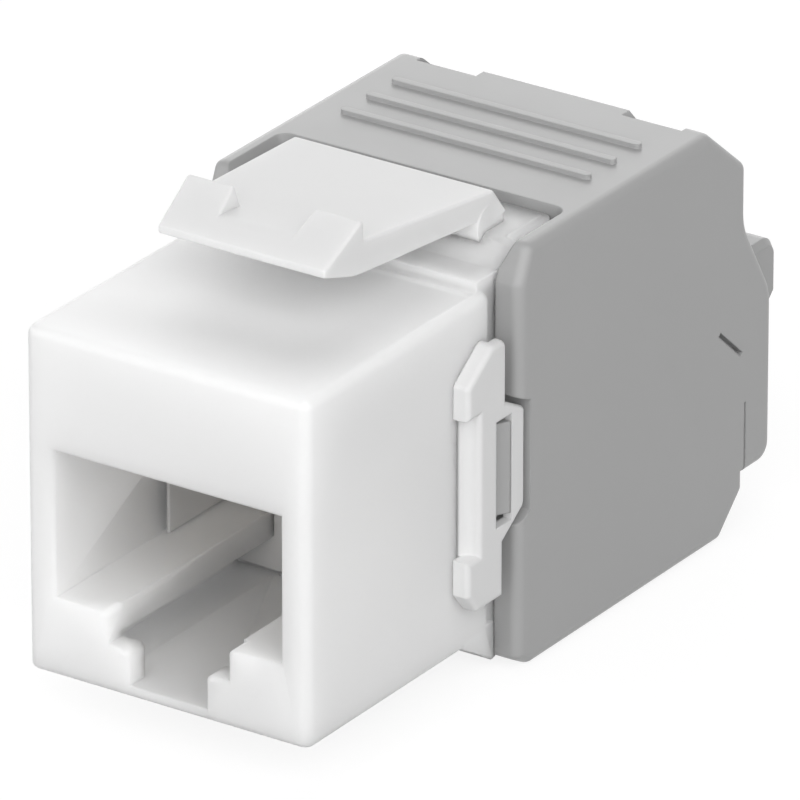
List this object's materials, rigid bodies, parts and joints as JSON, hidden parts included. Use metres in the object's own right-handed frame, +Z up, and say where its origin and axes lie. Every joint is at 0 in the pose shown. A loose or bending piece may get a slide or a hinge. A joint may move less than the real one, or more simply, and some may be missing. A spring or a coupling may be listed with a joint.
{
  "type": "keystone jack",
  "caption": "Tool-less network keystone jack: white front housing with a tab-down modular port and a flexing panel latch, and a grey rear termination cap held by side snap loops.",
  "frame": {"origin": "centre of the bounding box at the underside of the cap", "axes": "+Z up towards the latch, -Y out of the port, +Y towards the cable entry, +X to the right seen from the port"},
  "size_m": [0.0164, 0.0372, 0.0227],
  "materials": {
    "white_plastic": "satin moulded",
    "grey_plastic": "fine matte moulded",
    "insert_plastic": "matte moulded",
    "contact_gold": "gold plated",
    "board": "solder mask",
    "terminal_metal": "tin plated"
  },
  "bodies": {
    "housing": {"front_housing": "white_plastic", "snap_loop_left": "white_plastic", "snap_loop_right": "white_plastic", "contact_insert": "insert_plastic", "circuit_board": "board", "idc_block": "insert_plastic", "idc_terminal_1": "terminal_metal", "idc_terminal_2": "terminal_metal", "idc_terminal_3": "terminal_metal", "idc_terminal_4": "terminal_metal", "idc_terminal_5": "terminal_metal", "idc_terminal_6": "terminal_metal", "idc_terminal_7": "terminal_metal", "idc_terminal_8": "terminal_metal"},
    "latch": {"latch_arm": "white_plastic"},
    "cap": {"termination_cap": "grey_plastic", "wire_guide": "grey_plastic"},
    "contacts": {"contact_1": "contact_gold", "contact_2": "contact_gold", "contact_3": "contact_gold", "contact_4": "contact_gold", "contact_5": "contact_gold", "contact_6": "contact_gold", "contact_7": "contact_gold", "contact_8": "contact_gold"}
  },
  "joints": [
    {"name": "latch_flex", "type": "hinge", "parent": "housing", "child": "latch", "pos_m": [0, -0.00172, 0.0195], "axis": [1, 0, 0], "range_deg": [0, 7], "stiffness_Nm_per_rad": 0.5},
    {"name": "cap_slide", "type": "slide", "parent": "housing", "child": "cap", "axis": [0, 1, 0], "range_m": [0, 0.014], "deforming": ["snap_loop_left", "snap_loop_right"]},
    {"name": "contacts_flex", "type": "hinge", "parent": "housing", "child": "contacts", "pos_m": [0, -0.01463, 0.0143], "axis": [1, 0, 0], "range_deg": [0, 14], "stiffness_Nm_per_rad": 0.05}
  ]
}
